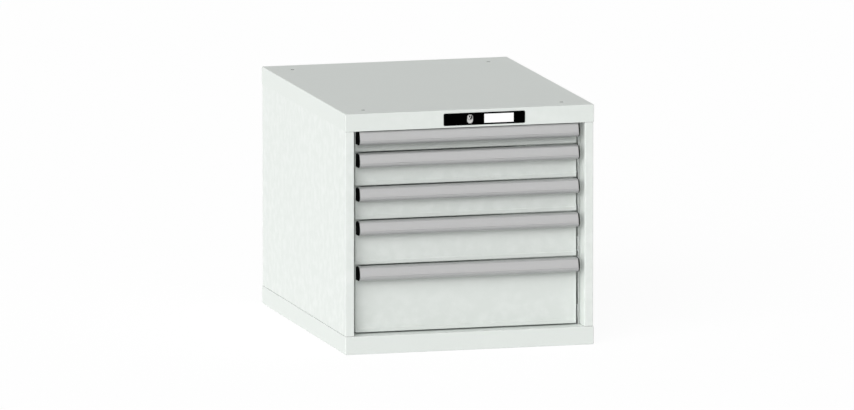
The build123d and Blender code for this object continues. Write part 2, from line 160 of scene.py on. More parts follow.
class Finish(Wiring):
    """One finish of the cabinet: a material and the nodes that make it."""

    def __init__(self, name):
        self.material = bpy.data.materials.new(name)
        self.material.use_nodes = True
        super().__init__(self.material.node_tree)
        self.tree.nodes.clear()
        self.place = self.node("ShaderNodeTexCoord", output="Object")

    def noise(self, scale, detail=2.0, rough=0.5, place=None):
        sockets = {"Vector": place or self.place, "Scale": scale, "Detail": detail, "Roughness": rough}
        return self.node("ShaderNodeTexNoise", {}, sockets, "Fac")

    def stretched(self, x, y, z):
        """The place in the piece, with each axis squeezed or drawn out."""
        return self.node("ShaderNodeMapping", {}, {"Vector": self.place, "Scale": (x, y, z)})

    def contrast(self, source, dark, light):
        """0 where the source is at or below dark, 1 at or above light."""
        return self.node("ShaderNodeValToRGB", {"stops": [(dark, 0.0), (light, 1.0)]}, {"Fac": source})

    def mix(self, factor, first, second):
        return self.node("ShaderNodeMix", {"data_type": "RGBA"}, {0: factor, 6: first, 7: second}, 2)

    def edge(self):
        """1 along a piece's bends and corners, 0 on its flat faces."""
        return self.node("ShaderNodeAttribute", {"attribute_name": "edge"}, output="Fac")

    def bump(self, height, distance, strength):
        return self.node("ShaderNodeBump", {}, {"Height": height, "Distance": distance, "Strength": strength})

    def close(self, **sockets):
        """Ends the tree in one shader with these sockets."""
        named = {key.replace("_", " "): value for key, value in sockets.items()}
        shader = self.node("ShaderNodeBsdfPrincipled", {}, named)
        self.node("ShaderNodeOutputMaterial", {}, {"Surface": shader})
        return self.material


# Finishes


def toned(screen, factor=1.0):
    """A colour given as it looks on screen, from 0 to 255, darker or lighter by a factor, in Blender's
    linear values (sRGB curve)."""
    linear = []
    for part in screen:
        share = part / 255
        level = share / 12.92 if share <= 0.04045 else ((share + 0.055) / 1.055) ** 2.4
        linear.append(min(1.0, factor * level))
    return (*linear, 1.0)


def powder_coat(name, base, worn):
    """Fine-textured powder coat: slow drift of tone, orange peel, and edges rubbed a little brighter."""
    paint = Finish(name)
    drift = paint.noise(2.6, 3.0)
    clouds = paint.noise(21.0, 4.0)
    peel = paint.noise(820.0, 2.0)
    grit = paint.noise(2600.0, 2.0)
    tone = paint.contrast(drift * 0.6 + clouds * 0.4, 0.35, 0.65)
    body = paint.mix(tone, toned(base, 0.994), toned(base, 1.006))
    rub = paint.edge() * paint.contrast(paint.noise(46.0, 3.0), 0.42, 0.68)
    return paint.close(
        Base_Color=paint.mix(rub * 0.3, body, toned(worn)),
        Roughness=0.48 + 0.04 * clouds - 0.12 * rub,
        Specular_IOR_Level=0.25,
        Normal=paint.bump(peel * 0.75 + grit * 0.25, 0.00006, 0.35),
    )


def drawn_metal(name, base, metal, rough, line_depth):
    """Metal with fine lines along X, as it leaves the die or the rolls."""
    made = Finish(name)
    lines = made.noise(1.0, 3.0, 0.6, made.stretched(6.0, 900.0, 900.0))
    stain = made.noise(14.0, 4.0)
    tone = made.contrast(lines * 0.6 + stain * 0.4, 0.3, 0.7)
    return made.close(
        Base_Color=made.mix(tone, toned(base, 0.9), toned(base)),
        Metallic=metal,
        Roughness=rough + 0.14 * stain - 0.06 * lines,
        Normal=made.bump(lines, 0.00004, line_depth),
    )


def plated_steel(name, base, rough, spangle):
    """Zinc or nickel plating: faint crystals and handling marks."""
    made = Finish(name)
    cell_sockets = {"Vector": made.place, "Scale": spangle, "Randomness": 1.0}
    cells = made.node("ShaderNodeTexVoronoi", {}, cell_sockets, "Color")
    shade = made.node("ShaderNodeRGBToBW", {}, {"Color": cells})
    marks = made.noise(60.0, 5.0, 0.65)
    tone = made.contrast(shade * 0.5 + marks * 0.5, 0.2, 0.8)
    return made.close(
        Base_Color=made.mix(tone, toned(base, 0.86), toned(base)),
        Metallic=1.0,
        Roughness=rough + 0.12 * marks + 0.06 * shade,
        Normal=made.bump(marks, 0.00003, 0.3),
    )


def moulded_plastic(name, base, light, grain, shine):
    """Moulded plastic with a fine spark-eroded grain."""
    made = Finish(name)
    pits = made.noise(grain, 3.0, 0.6)
    sheen = made.noise(18.0, 3.0)
    return made.close(
        Base_Color=made.mix(made.contrast(sheen, 0.3, 0.7), toned(base), toned(light)),
        Roughness=0.6 + 0.12 * sheen + 0.08 * pits,
        Specular_IOR_Level=shine,
        Normal=made.bump(pits, 0.00003, 0.4),
    )


def covered_paper(name, base, light, coat):
    """Paper with its fibres, behind a clear cover where coat is above 0."""
    made = Finish(name)
    fibres = made.noise(1.0, 4.0, 0.7, made.stretched(500.0, 1500.0, 1500.0))
    pulp = made.noise(90.0, 3.0)
    tone = made.contrast(fibres * 0.5 + pulp * 0.5, 0.3, 0.7)
    return made.close(
        Base_Color=made.mix(tone, toned(base), toned(light)),
        Roughness=0.55 + 0.15 * pulp,
        Coat_Weight=coat,
        Coat_Roughness=0.18,
        Normal=made.bump(fibres, 0.00002, 0.25),
    )


casing_paint = powder_coat("casing_paint", (222, 227, 223), (238, 241, 239))
drawer_paint = powder_coat("drawer_paint", (217, 222, 218), (238, 241, 239))
grip_metal = drawn_metal("grip_aluminium", (180, 181, 181), 0.35, 0.38, 0.5)
label_paper = covered_paper("label_cover", (181, 181, 181), (185, 185, 185), 0.25)
cap_plastic = moulded_plastic("black_plastic", (2, 2, 2), (5, 5, 5), 1900.0, 0.02)
plate_plastic = moulded_plastic("lock_plate_plastic", (1, 1, 1), (3, 3, 3), 1400.0, 0.0)
card_paper = covered_paper("white_card", (250, 250, 249), (255, 255, 254), 0.0)
zinc = plated_steel("zinc_steel", (202, 205, 203), 0.36, 160.0)
roller_metal = drawn_metal("roller_steel", (170, 172, 175), 1.0, 0.26, 0.4)
screw_metal = plated_steel("screw_steel", (198, 200, 202), 0.3, 420.0)
lock_nickel = plated_steel("lock_metal", (210, 209, 207), 0.24, 700.0)
# Painted shade: a black finish laid on the seam grooves, the lock body's sides and bore, and the plug's
# keyway and crescent
gap_shade = moulded_plastic("gap_shade", (3, 3, 3), (9, 9, 9), 1400.0, 0.0)
# Dark steel for the fixing holes' walls: bare cut edges, darkened further as painted shade inside the holes
cut_steel = plated_steel("cut_steel", (96, 97, 98), 0.5, 500.0)


# Outlines


def plan(u, v, w):
    """Outline drawn in X and Y, stretched along Z."""
    return Vector((u, v, w)) * MM


def side(u, v, w):
    """Outline drawn in Y and Z, stretched along X."""
    return Vector((w, u, v)) * MM


def face(u, v, w):
    """Outline drawn in X and Z, stretched along Y."""
    return Vector((u, w, v)) * MM


def arc(u, v, radius, start, stop, steps):
    """Points on an arc, angles in degrees."""
    points = []
    for n in range(steps + 1):
        angle = math.radians(start + (stop - start) * n / steps)
        points.append((u + radius * math.cos(angle), v + radius * math.sin(angle)))
    return points


def rounded(u, v, half_u, half_v, radius, steps, guarded=False):
    """Rectangle with rounded corners, where wanted with a guard point on each side of a corner."""
    points = []
    for turn, (su, sv) in enumerate(((1, 1), (-1, 1), (-1, -1), (1, -1))):
        start = 90 * turn
        centre = (u + su * (half_u - radius), v + sv * (half_v - radius))
        corner = arc(*centre, radius, start, start + 90, steps)
        if guarded:
            before = arc(*corner[0], guard, start - 90, start, 1)[:1]
            after = arc(*corner[-1], guard, start + 90, start + 180, 1)[1:]
            corner = before + corner + after
        points += corner
    return points


def ring(u, v, radius, steps):
    return arc(u, v, radius, 0, 360 - 360 / steps, steps - 1)


def upright_slot(u, v, half, radius, steps):
    """Slot with round ends, whose centres lie this far above and below the middle."""
    return arc(u, v + half, radius, 0, 180, steps) + arc(u, v - half, radius, 180, 360, steps)


def rectangle(u, v, half_u, half_v, radius, steps):
    """A shape for a plate: a rounded rectangle that can be grown."""
    return lambda growth: rounded(u, v, half_u + growth, half_v + growth, radius + growth, steps)


def circle(u, v, radius, steps):
    """A shape for a plate: a circle that can be grown."""
    return lambda growth: ring(u, v, radius + growth, steps)


# Solids


def row_at(bm, place, outline, level):
    """New vertices along an outline at one level."""
    return [bm.verts.new(place(u, v, level)) for u, v in outline]


def bridge(bm, first, second, closed=True):
    """Quads between two rows of vertices."""
    count = len(first)
    made = []
    for n in range(count if closed else count - 1):
        m = (n + 1) % count
        made.append(bm.faces.new((first[n], first[m], second[m], second[n])))
    return made


def skin(bm, rows, closed=True):
    """Quads between all rows, returned as one list."""
    return sum((bridge(bm, first, second, closed) for first, second in zip(rows, rows[1:])), [])


def fill(bm, rows):
    """Flat face inside the first row of vertices, with the other rows as holes."""
    if len(rows) == 1:
        bm.faces.new(rows[0])
        return
    edges = []
    for row in rows:
        for n, vertex in enumerate(row):
            after = row[(n + 1) % len(row)]
            edges.append(bm.edges.get((vertex, after)) or bm.edges.new((vertex, after)))
    bmesh.ops.triangle_fill(bm, use_beauty=True, use_dissolve=False, edges=edges)


def plate(bm, place, shapes, low, high, edge, pockets=()):
    """Flat plate with softened edges. Each shape gives its points for a growth; the first is the outline.
    A pocket is a shape, its depth from the low face and the number of its finish."""
    ends = [[], []]
    for number, shape in enumerate(shapes):
        grow = edge if number == 0 else -edge
        levels = [(low, -grow), (low + edge, 0.0), (high - edge, 0.0), (high, -grow)]
        rows = [row_at(bm, place, shape(growth), level) for level, growth in levels]
        skin(bm, rows)
        ends[0].append(rows[0])
        ends[1].append(rows[-1])
    for shape, pocket_depth, finish_number in pockets:
        rows = [row_at(bm, place, shape(0.0), level) for level in (low, low + pocket_depth)]
        known = set(bm.faces)
        bridge(bm, *rows)
        fill(bm, [rows[1]])
        for part in set(bm.faces) - known:
            part.material_index = finish_number
        ends[0].append(rows[0])
    fill(bm, ends[0])
    fill(bm, ends[1])


def sheet_faces(path, sheet, bend):
    """Both faces of a folded sheet as two rows of points. The path is one face, and the sheet lies on its
    left."""
    steps = 5
    near, far = [], []

    def add(point, normal):
        near.append(tuple(point))
        far.append((point[0] + normal[0] * sheet, point[1] + normal[1] * sheet))

    points = [Vector(p) for p in path]
    runs = [(b - a).normalized() for a, b in zip(points, points[1:])]
    normals = [Vector((-run.y, run.x)) for run in runs]
    bends = []
    for n, point in enumerate(points[1:-1]):
        before, after = normals[n], normals[n + 1]
        turns_left = before.x * after.y - before.y * after.x > 0
        reach = bend + sheet if turns_left else -bend
        centre = point + (before + after) * (reach / (1 + before.dot(after)))
        bends.append((centre, before, after, reach))
    for n, run in enumerate(runs):
        begin, end = points[n], points[n + 1]
        if n > 0:
            centre, _, after, reach = bends[n - 1]
            begin = centre - after * reach
        if n < len(bends):
            centre, before, after, reach = bends[n]
            end = centre - before * reach
        add(begin, normals[n])
        if (end - begin).length > 3 * guard:
            add(begin + run * guard, normals[n])
            add(end - run * guard, normals[n])
        add(end, normals[n])
        if n < len(bends):
            turn = before.angle_signed(after)
            for k in range(1, steps):
                normal = Matrix.Rotation(-turn * k / steps, 2) @ before
                add(centre - normal * reach, normal)
    return near, far


def stacked_sheet(bm, place, levels, sheet, bend):
    """Folded sheet through levels that each have their own path, closed all round."""
    near, far = [], []
    for w, path in levels:
        for rows, points in zip((near, far), sheet_faces(path, sheet, bend)):
            rows.append(row_at(bm, place, points, w))
    skin(bm, near, closed=False)
    skin(bm, far, closed=False)
    for n in range(len(levels) - 1):
        for end in (0, -1):
            bm.faces.new((near[n][end], near[n + 1][end], far[n + 1][end], far[n][end]))
    for end in (0, -1):
        bridge(bm, near[end], far[end], closed=False)


def folded_sheet(bm, place, path, sheet, bend, low, high):
    """Sheet folded along a path and stretched from low to high, closed all round."""
    levels = [low, high] if high - low < 4 * guard else [low, low + guard, high - guard, high]
    stacked_sheet(bm, place, [(w, path) for w in levels], sheet, bend)


def shell(bm, rows, ends=True, loop=False):
    """Skin through rows of points in space, each row a closed ring."""
    made = [[bm.verts.new(point) for point in row] for row in rows]
    skin(bm, made)
    if loop:
        bridge(bm, made[-1], made[0])
    elif ends:
        bm.faces.new(made[0])
        bm.faces.new(made[-1])
    return made


def loops(place, u, v, half_u, half_v, corner, least, steps, guarded=True):
    """Gives the outline of a bent sheet, drawn in from its outer faces, at any level."""
    def loop(inset, level):
        radius = max(corner - inset, least)
        points = rounded(u, v, half_u - inset, half_v - inset, radius, steps, guarded)
        return [place(*point, level) for point in points]
    return loop


def bent(loop, inset, level, radius, steps, rise=1, turn=90):
    """Outlines round a bend, from the inset and level of its centre. It rises or falls inwards."""
    return [loop(inset - u, level + rise * v) for u, v in arc(0, 0, radius, 0, turn, steps)]


def corner_rows(loop, radius, level, steps, rise=1):
    """Outlines from a flat face at this level, round its outer bend and on to the wall."""
    bend = bent(loop, radius, level - rise * radius, radius, steps, rise)[::-1]
    return [loop(radius + guard, level)] + bend + [loop(0.0, level - rise * (radius + guard))]


def turned(bm, place, u, v, profile, steps):
    """Turned shape about one point of its plane: levels with their radius, closed at both ends."""
    shell(bm, [[place(*point, level) for point in ring(u, v, radius, steps)] for level, radius in profile])


def mirrored(bm):
    """Turns the shape over from the right side of the cabinet to the left."""
    bmesh.ops.transform(bm, matrix=Matrix.Scale(-1, 4, (1, 0, 0)), verts=bm.verts)


def put(name, data):
    """An object of the scene with this data."""
    made = bpy.data.objects.new(name, data)
    bpy.context.scene.collection.objects.link(made)
    return made


def mesh_of(name, bm):
    mesh = bpy.data.meshes.new(name)
    bm.to_mesh(mesh)
    bm.free()
    return mesh


def mark_edges(mesh):
    """Stores 1 on every vertex where the surface turns and 0 on flat faces, for the wear of the paint."""
    bm = bmesh.new()
    bm.from_mesh(mesh)
    edges = [edge for edge in bm.edges
             if len(edge.link_faces) != 2 or edge.calc_face_angle(0.0) > math.radians(6)]
    bent_places = {vertex.index for edge in edges for vertex in edge.verts}
    turning = [float(n in bent_places) for n in range(len(bm.verts))]
    bm.free()
    attribute = mesh.attributes.new("edge", "FLOAT", "POINT")
    attribute.data.foreach_set("value", turning)


def finished(name, bm, *rest, **ways):
    """Makes the piece: merges its doubles, turns its faces outward and puts it in the frame."""
    bmesh.ops.remove_doubles(bm, verts=bm.verts, dist=0.002 * MM)
    bmesh.ops.recalc_face_normals(bm, faces=bm.faces)
    from_mesh(name, mesh_of(name + "_raw", bm), *rest, **ways)


def from_mesh(name, mesh, finish, node, slot, body="casing", marked=False, crease=32.0):
    """Shades a mesh, marks its edges where its paint wears, and puts it on its body in its node's place."""
    if not mesh.materials:
        for each in finish if isinstance(finish, list) else [finish]:
            mesh.materials.append(each)
    mesh.shade_smooth()
    mesh.set_sharp_from_angle(angle=math.radians(crease))
    raw = put(name + "_raw", mesh)
    even = raw.modifiers.new("even shading", "WEIGHTED_NORMAL")
    even.keep_sharp = True
    evaluated = raw.evaluated_get(bpy.context.evaluated_depsgraph_get())
    final = bpy.data.meshes.new_from_object(evaluated)
    final.name = name
    bpy.data.objects.remove(raw)
    bpy.data.meshes.remove(mesh)
    if marked:
        mark_edges(final)
    piece = put(name, final)
    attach(piece, body)
    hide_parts(node)


# Geometry Nodes trees


class GeometryTree(Wiring):
    """A Geometry Nodes tree with named inputs: sizes in metres, others of their own kind, and the finish."""

    def __init__(self, name, sizes, others):
        super().__init__(bpy.data.node_groups.new(name, "GeometryNodeTree"))
        self.tree.interface.new_socket(name="Geometry", in_out="OUTPUT", socket_type="NodeSocketGeometry")
        kinds = {"Geometry": "Geometry", **{size: "Float" for size in sizes}, **others, "Finish": "Material"}
        for label, kind in kinds.items():
            self.tree.interface.new_socket(name=label, in_out="INPUT", socket_type="NodeSocket" + kind)
        source = self.tree.nodes.new("NodeGroupInput")
        self.given = {socket.name: Signal(self, socket) for socket in source.outputs if socket.name}

    def add(self, kind, sockets, settings=None, output=0):
        return self.node("GeometryNode" + kind, settings, sockets, output)

    def row(self, count, first, step):
        """Points from the first place on, each one step further."""
        start = self.node("ShaderNodeCombineXYZ", {}, first)
        offset = self.node("ShaderNodeCombineXYZ", {}, step)
        return self.add("MeshLine", {"Count": count, "Start Location": start, "Offset": offset})

    def softened(self, width, height, radius, steps):
        """Rectangle with rounded corners as a curve."""
        box = self.add("CurvePrimitiveQuadrilateral", {"Width": width, "Height": height})
        sockets = {"Curve": box, "Count": steps, "Radius": radius, "Limit Radius": True}
        return self.add("FilletCurve", sockets, {"mode": "POLY"})

    def end(self, geometry):
        """The last steps of each tree: real geometry, then its finish."""
        real = self.add("RealizeInstances", {"Geometry": geometry})
        painted = self.add("SetMaterial", {"Geometry": real, "Material": self.given["Finish"]})
        self.node("NodeGroupOutput", {}, {"Geometry": painted})
        return self.tree


def grown(tree, values, base=None):
    """Runs a tree with these values of its inputs, sizes in millimetres, and returns the mesh it makes."""
    carrier = put(tree.name + "_carrier", base or bpy.data.meshes.new(tree.name + "_carrier"))
    modifier = carrier.modifiers.new(tree.name, "NODES")
    modifier.node_group = tree
    for item in tree.interface.items_tree:
        if item.name in values:
            value = values[item.name]
            modifier[item.identifier] = value * MM if isinstance(value, float) else value
    evaluated = carrier.evaluated_get(bpy.context.evaluated_depsgraph_get())
    mesh = bpy.data.meshes.new_from_object(evaluated)
    carrier.modifiers.remove(modifier)
    bpy.data.objects.remove(carrier)
    return mesh


def slotted_sheet_tree(sizes):
    """Flat sheet in X and Y with a row of round-ended slots, centred on the origin."""
    tree = GeometryTree("slotted_sheet", sizes, {"Slots": "Int"})
    length, height, sheet, pitch, *slot_sizes, shift = (tree.given[size] for size in sizes)
    count = tree.given["Slots"]
    edge = tree.add("CurvePrimitiveQuadrilateral", {"Width": length, "Height": height})
    slot = tree.softened(*slot_sizes, 2)
    row = tree.row(count, {"X": pitch * (count - 1.0) * -0.5 + shift}, {"X": pitch})
    slots = tree.add("InstanceOnPoints", {"Points": row, "Instance": slot})
    real_slots = tree.add("RealizeInstances", {"Geometry": slots})
    outline = tree.add("JoinGeometry", {"Geometry": [real_slots, edge]})
    flat = tree.add("FillCurve", {"Curve": outline})
    raised = tree.add("ExtrudeMesh", {"Mesh": flat, "Offset Scale": sheet, "Individual": False})
    under = tree.add("FlipFaces", {"Mesh": flat})
    both = tree.add("JoinGeometry", {"Geometry": [raised, under]})
    return tree.end(tree.add("MergeByDistance", {"Geometry": both, "Distance": 0.000001}))


def roller_tree():
    """A grooved roller on each point of the base mesh, its axle along X."""
    tree = GeometryTree("rollers", ["Radius", "Bore", "Width", "Rounding"], {})
    radius, bore = tree.given["Radius"], tree.given["Bore"]
    circle_path = tree.add("CurvePrimitiveCircle", {"Resolution": 36, "Radius": (radius + bore) * 0.5})
    profile = tree.softened(radius - bore, tree.given["Width"], tree.given["Rounding"], 3)
    tyre = tree.add("CurveToMesh", {"Curve": circle_path, "Profile Curve": profile})
    upright = tree.add("Transform", {"Geometry": tyre, "Rotation": (0.0, math.pi / 2, 0.0)})
    return tree.end(tree.add("InstanceOnPoints", {"Points": tree.given["Geometry"], "Instance": upright}))


def screw_tree():
    """Two upright rows of one screw shape."""
    tree = GeometryTree("panel_screws", ["First Height", "Step", "Half Spacing", "Seat"],
                        {"Rows": "Int", "Shape": "Object"})
    given = tree.given
    shape = tree.add("ObjectInfo", {"Object": given["Shape"]}, output="Geometry")
    rows = []
    for sign in (-1.0, 1.0):
        first = {"X": given["Half Spacing"] * sign, "Y": given["Seat"], "Z": given["First Height"]}
        rows.append(tree.row(given["Rows"], first, {"Z": given["Step"]}))
    both = tree.add("JoinGeometry", {"Geometry": rows})
    return tree.end(tree.add("InstanceOnPoints", {"Points": both, "Instance": shape}))


slotted_sizes = ["Length", "Height", "Sheet", "Pitch", "Slot Width", "Slot Height", "Slot Rounding", "Shift"]
slotted_sheet = slotted_sheet_tree(slotted_sizes)
rollers_on_points = roller_tree()
panel_screws = screw_tree()


def add_mesh(bm, mesh, matrix):
    """Adds a mesh, placed by a matrix, and frees it."""
    mesh.transform(matrix)
    bm.from_mesh(mesh)
    bpy.data.meshes.remove(mesh)


def slotted(bm, origin, along, up, slots, *sizes):
    """Adds a slotted sheet whose length lies along one direction and whose height along another."""
    x, y = Vector(along), Vector(up)
    matrix = Matrix((x, y, x.cross(y))).transposed().to_4x4()
    matrix.translation = Vector(origin) * MM
    values = {"Slots": slots, "Finish": casing_paint, **dict(zip(slotted_sizes, sizes))}
    add_mesh(bm, grown(slotted_sheet, values), matrix)


# Casing


def side_piece(word, name, bm, finish, node, slot, **ways):
    """Finishes a piece made for the right side, turned over where it belongs on the left."""
    if word == "left":
        mirrored(bm)
    finished(name.format(word), bm, finish, word + node, slot, **ways)


def cut_lock_openings(bm):
    """Opens the band's two large front faces for the lock body and the pegs of its plate."""
    play = 0.1
    large_face = 0.01
    shapes = [lock_outline(play)] + [ring(x, plate_z, peg_radius + play, 20) for x in peg_places]
    near = cover_sheet + play - depth / 2
    rims = []
    for part in [part for part in bm.faces if part.calc_area() > large_face]:
        level = part.calc_center_median().y / MM
        if level > near:
            continue
        corners = list(part.verts)
        rims.append([row_at(bm, face, shape, level) for shape in shapes])
        bm.faces.remove(part)
        fill(bm, [corners] + rims[-1])
    for outer, inner in zip(*rims):
        bridge(bm, outer, inner)


def make_top_cover(bm):
    """Cover with a deep band, a rolled foot, a lintel fold and four fixing holes whose walls are bare steel
    darkened further as painted shade.
    """
    bend, hem = 1.5, 0.4
    lintel_half, lintel_gap = 14.9, 0.2
    flat_ring, soft, soft_below = 1.1, 0.3, 0.2
    loop = loops(plan, 0.0, 0.0, width / 2, depth / 2, bend, 0.05, 5)
    rows = corner_rows(loop, bend, top_z, 6) + [loop(0.0, header_z + cover_sheet + guard)]
    rows += bent(loop, hem, header_z + hem, hem, 4, -1)
    rows += [loop(cover_sheet, header_z), loop(cover_sheet, header_z + cover_sheet)]
    rows += bent(loop, bend, top_z - bend, bend - cover_sheet, 3)
    rows.append(loop(bend + guard, cover_z))
    made = shell(bm, rows, ends=False)
    cut_lock_openings(bm)
    levels = [(top_z, flat_ring), (top_z, soft), (top_z - soft, 0.0),
              (cover_z + soft_below, 0.0), (cover_z, soft_below), (cover_z, flat_ring)]
    rims = [[], []]
    for x, y in fixing_places:
        rows = [row_at(bm, plan, ring(x, y, fixing_radius + more, 28), z) for z, more in levels]
        skin(bm, rows[:3])
        # The hole walls take finish 1: bare steel darkened as painted shade
        for part in skin(bm, rows[2:5]):
            part.material_index = 1
        skin(bm, rows[4:])
        rims[0].append(rows[0])
        rims[1].append(rows[-1])
    fill(bm, [made[0]] + rims[0])
    fill(bm, [made[-1]] + rims[1])
    lintel = rectangle(0.0, lintel_gap + lintel_half - cover_y, post_x, lintel_half, 0.4, 2)
    plate(bm, plan, [lintel], header_z, header_z + cover_sheet, 0.2)
    finished("cabinet_top_cover", bm, [casing_paint, cut_steel], "top_cover", "casing_paint", marked=True)


def make_base(bm):
    """Plinth with a flange along its foot, a fold along its top, a sill and four corner plates."""
    corner, flange, plate_reach = 2.0, 30.0, 75.0
    band_top = base_height - cover_sheet
    loop = loops(plan, 0.0, 0.0, width / 2, depth / 2, corner, 0.05, 5)
    rows = [loop(flange, cover_sheet), loop(flange, 0.0)] + corner_rows(loop, corner, 0.0, 5, -1)
    rows.append(loop(0.0, band_top - guard))
    rows += bent(loop, cover_sheet, band_top, cover_sheet, 4)
    rows.append(loop(cover_sheet, corner))
    rows += bent(loop, corner, corner, corner - cover_sheet, 3, -1)
    shell(bm, rows, loop=True)
    sill = rectangle(0.0, (post_rear_y - cover_y) / 2, post_x, (post_rear_y + cover_y) / 2, 0.4, 2)
    plate(bm, plan, [sill], band_top, base_height, 0.1)
    half = (plate_reach - flange) / 2
    for x, y in fixing_places:
        centre_x = math.copysign(width / 2 - flange - half, x)
        centre_y = math.copysign(depth / 2 - flange - half, y)
        shapes = [rectangle(centre_x, centre_y, half, half, 3.0, 3), circle(x, y, fixing_radius, 24)]
        plate(bm, plan, shapes, 0.0, cover_sheet, 0.2)
    finished("cabinet_base", bm, casing_paint, "base_plinth", "casing_paint", marked=True)


def make_side_wall(word, bm):
    """Side wall folded round into the front post and the rear edge, with grooves at header and base lined
    with painted shade in black.
    """
    seam_height, seam_depth = 0.5, 0.6
    overlap = 0.2
    rear_fold = 18.0

    def path(inset):
        y, outer = cover_y - inset, cover_x - inset
        return [(post_x, post_rear_y), (post_x, -y), (outer, -y), (outer, y), (cover_x - rear_fold, y)]

    def seam(z, below, above):
        return [(z - below, 0.0), (z - below, seam_depth), (z + above, seam_depth), (z + above, 0.0)]

    levels = [(cover_sheet, 0.0)] + seam(base_height, overlap, seam_height)
    levels += seam(header_z, seam_height, overlap) + [(cover_z, 0.0)]
    stacked_sheet(bm, plan, [(z, path(inset)) for z, inset in levels], wall_sheet, 0.05)
    # The groove faces take the black finish: painted shade in the seams
    for part in bm.faces:
        height = part.calc_center_median().z / MM
        if min(abs(height - base_height), abs(height - header_z)) < seam_height:
            part.material_index = 1
    finishes = [casing_paint, gap_shade]
    side_piece(word, "cabinet_{}_side", bm, finishes, "_side_wall", "casing_paint", marked=True)


def make_back_panel(bm):
    play = 0.3
    rear = cover_y - wall_sheet
    half_z = (cover_z - base_height) / 2
    shape = rectangle(0.0, base_height + half_z, wall_x - play, half_z, 1.0, 3)
    plate(bm, face, [shape], rear - panel_sheet, rear, 0.15)
    finished("cabinet_back_panel", bm, casing_paint, "back_panel", "casing_paint")


def make_floor(bm):
    play = 0.2
    front, rear = post_rear_y, cover_y - wall_sheet - panel_sheet
    shape = rectangle(0.0, (front + rear) / 2, wall_x - play, (rear - front - play) / 2, 1.0, 3)
    plate(bm, plan, [shape], base_height - cover_sheet, base_height, 0.15)
    finished("cabinet_floor", bm, casing_paint, "floor_plate", "casing_paint")


def make_uprights(word, bm):
    """Front and rear uprights of one side: a slotted web between two folded edges."""
    fold, bend = 5.0, 0.5
    slots, slot_pitch, first_slot = 17, 25.0, 68.0
    middle = (base_height + header_z) / 2
    shift = first_slot + (slots - 1) * slot_pitch / 2 - middle
    web = upright_depth - 2 * fold
    sizes = (header_z - base_height, web, runner_sheet, slot_pitch, 12.0, 3.2, 1.2, shift)
    for front in (post_rear_y, -post_rear_y - upright_depth):
        rear = front + upright_depth
        for path in ([(upright_x, front + fold), (upright_x, front), (wall_x, front)],
                     [(wall_x, rear), (upright_x, rear), (upright_x, rear - fold)]):
            folded_sheet(bm, plan, path, runner_sheet, bend, base_height, header_z)
        origin = (upright_x + runner_sheet, front + upright_depth / 2, middle)
        slotted(bm, origin, (0, 0, 1), (0, 1, 0), slots, *sizes)
    side_piece(word, "{}_slotted_uprights", bm, zinc, "_uprights", "zinc_steel")


def rail_channel(bm, back_x, lip_x, z, front, rear):
    """Channel of folded sheet, its back against back_x and its lips reaching to lip_x."""
    half, bend = 16.0, 0.7
    path = [(lip_x, z - half), (back_x, z - half), (back_x, z + half), (lip_x, z + half)]
    if lip_x > back_x:
        path.reverse()
    folded_sheet(bm, face, path, runner_sheet, bend, front, rear)


def make_casing_rails(word, bm):
    """Five channels between the uprights of one side, each with two hooks in their slots."""
    lips = 12.0
    half_x, half_y, half_z = 2.25, 1.4, 5.8
    for drawer in drawers:
        rail_channel(bm, upright_x, upright_x - lips, drawer.rail_z, post_rear_y, -post_rear_y)
        hook = rectangle(upright_x + half_x, drawer.rail_z, half_x, half_z, 0.8, 3)
        for y in (post_rear_y + upright_depth / 2, -post_rear_y - upright_depth / 2):
            plate(bm, face, [hook], y - half_y, y + half_y, 0.2)
    side_piece(word, "{}_fixed_rails", bm, zinc, "_casing_rails", "zinc_steel")


def screw_shape():
    """Pan-head screw with a star recess, its seat at the origin and its head towards +Y."""
    steps = 24
    shank = [(-6.2, 1.0), (-5.6, 1.9), (-5.2, 2.0), (0.0, 2.0)]
    head = [(0.0, 3.8), (0.25, 4.0), (1.2, 3.95), (1.8, 3.6), (2.2, 2.9), (2.4, 2.2)]
    recess = [(2.45, 1.75), (1.1, 1.6)]
    rows = []
    for profile, lobes in ((shank + head, 0.0), (recess, 0.12)):
        for along, radius in profile:
            row = []
            for n in range(steps):
                angle = 2 * math.pi * n / steps
                reach = radius * (1 + lobes * math.cos(6 * angle))
                row.append(face(reach * math.cos(angle), reach * math.sin(angle), along))
            rows.append(row)
    bm = bmesh.new()
    shell(bm, rows)
    bmesh.ops.recalc_face_normals(bm, faces=bm.faces)
    return put("screw_shape", mesh_of("screw_shape", bm))


def make_back_screws():
    """Two upright rows of screws along the back panel's edges."""
    rows, margin, inset = 4, 60.0, 9.0
    first, last = base_height + margin, header_z - margin
    shape = screw_shape()
    values = {"First Height": first, "Step": (last - first) / (rows - 1), "Half Spacing": cover_x - inset,
              "Seat": cover_y, "Rows": rows, "Shape": shape, "Finish": screw_metal}
    mesh = grown(panel_screws, values)
    bpy.data.objects.remove(shape)
    from_mesh("back_panel_screw_heads", mesh, screw_metal, "back_panel_screws", "screw_steel")


# Drawers


def drawer_piece(drawer, name, bm, finish, node, slot, **ways):
    """Finishes a piece that slides with this drawer."""
    finished(drawer.name + name, bm, finish, drawer.name + node, slot, drawer.name, **ways)


